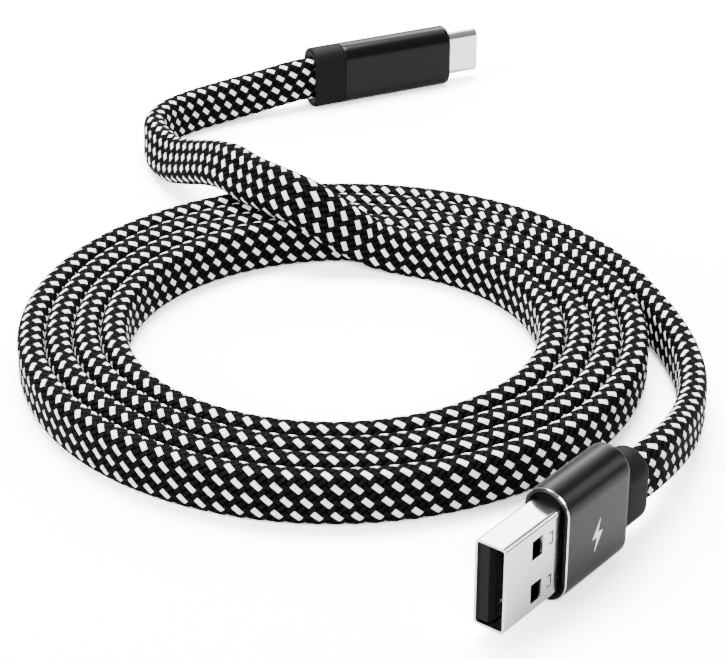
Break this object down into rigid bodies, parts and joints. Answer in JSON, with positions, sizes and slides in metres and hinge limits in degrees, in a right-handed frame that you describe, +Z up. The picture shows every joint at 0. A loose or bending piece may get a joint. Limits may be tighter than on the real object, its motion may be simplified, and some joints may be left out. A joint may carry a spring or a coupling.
{
  "type": "charging cable",
  "caption": "Flat woven charging cable, coiled on edge, with a standard-A plug at one end and a reversible C plug at the other.",
  "frame": {"origin": "centre of the coil, on the surface it stands on", "axes": "+Z up from the surface, +Y across the coil towards the C plug, +X to the side where the cord leaves for the A plug"},
  "size_m": [0.0998, 0.188, 0.016],
  "materials": {
    "woven_cord": "tight flat nylon braid, black with white flecks",
    "plated_shell": "bright nickel plated steel, formed from sheet",
    "black_insulator": "moulded, slight grain",
    "black_plastic": "moulded, smooth",
    "gold_contact": "gold flashed, smooth",
    "anodised_housing": "satin black anodised, bright cut front edge",
    "boot_rubber": "soft matt moulding",
    "tinned_steel": "tinned, satin",
    "inner_jacket": "soft extruded jacket",
    "circuit_board": "solder resist",
    "chip_body": "moulded chip",
    "red_wire": "extruded insulation",
    "white_wire": "extruded insulation",
    "green_wire": "extruded insulation",
    "black_wire": "extruded insulation"
  },
  "bodies": {
    "cord": {"cord_coil": "woven_cord", "cord_tail_a": "woven_cord", "cord_tail_c": "woven_cord"},
    "usb_a": {"usb_a_shell": "plated_shell", "usb_a_tongue": "black_insulator", "usb_a_contacts": "gold_contact", "usb_a_front_cap": "black_plastic", "usb_a_inner_mould": "black_plastic", "usb_a_housing": "anodised_housing", "usb_a_boot": "boot_rubber", "usb_a_crimp": "tinned_steel", "usb_a_jacket_end": "inner_jacket", "usb_a_power_wire": "red_wire", "usb_a_data_minus_wire": "white_wire", "usb_a_data_plus_wire": "green_wire", "usb_a_ground_wire": "black_wire"},
    "usb_c": {"usb_c_shell": "plated_shell", "usb_c_insulator": "black_insulator", "usb_c_board": "circuit_board", "usb_c_chips": "chip_body", "usb_c_rear_shield": "tinned_steel", "usb_c_front_cap": "black_plastic", "usb_c_inner_mould": "black_plastic", "usb_c_housing": "anodised_housing", "usb_c_collar": "boot_rubber", "usb_c_crimp": "tinned_steel", "usb_c_jacket_end": "inner_jacket", "usb_c_power_wire": "red_wire", "usb_c_data_minus_wire": "white_wire", "usb_c_data_plus_wire": "green_wire", "usb_c_ground_wire": "black_wire"},
    "usb_c_upper_row": {"usb_c_contacts_upper": "gold_contact"},
    "usb_c_lower_row": {"usb_c_contacts_lower": "gold_contact"},
    "usb_c_left_latch": {"usb_c_latch_left": "plated_shell"},
    "usb_c_right_latch": {"usb_c_latch_right": "plated_shell"}
  },
  "joints": [
    {"name": "usb_a_flex", "type": "hinge", "parent": "cord", "child": "usb_a", "pos_m": [0.0432, -0.0374, 0.007], "axis": [0, 0, 1], "range_deg": [-15, 45], "stiffness_Nm_per_rad": 0.01, "deforming": ["cord_tail_a"]},
    {"name": "usb_c_flex", "type": "hinge", "parent": "cord", "child": "usb_c", "pos_m": [-0.01455, 0.0959, 0.00485], "axis": [0, 0, 1], "range_deg": [-40, 40], "stiffness_Nm_per_rad": 0.01, "deforming": ["cord_tail_c"]},
    {"name": "usb_c_upper_spring", "type": "slide", "parent": "usb_c", "child": "usb_c_upper_row", "axis": [0.4384, -0.8988, 0], "range_m": [0, 0.00015], "stiffness_N_per_m": 200},
    {"name": "usb_c_lower_spring", "type": "slide", "parent": "usb_c", "child": "usb_c_lower_row", "axis": [-0.4384, 0.8988, 0], "range_m": [0, 0.00015], "stiffness_N_per_m": 200},
    {"name": "usb_c_left_spring", "type": "slide", "parent": "usb_c", "child": "usb_c_left_latch", "axis": [0, 0, 1], "range_m": [0, 0.00015], "stiffness_N_per_m": 200},
    {"name": "usb_c_right_spring", "type": "slide", "parent": "usb_c", "child": "usb_c_right_latch", "axis": [0, 0, -1], "range_m": [0, 0.00015], "stiffness_N_per_m": 200}
  ]
}
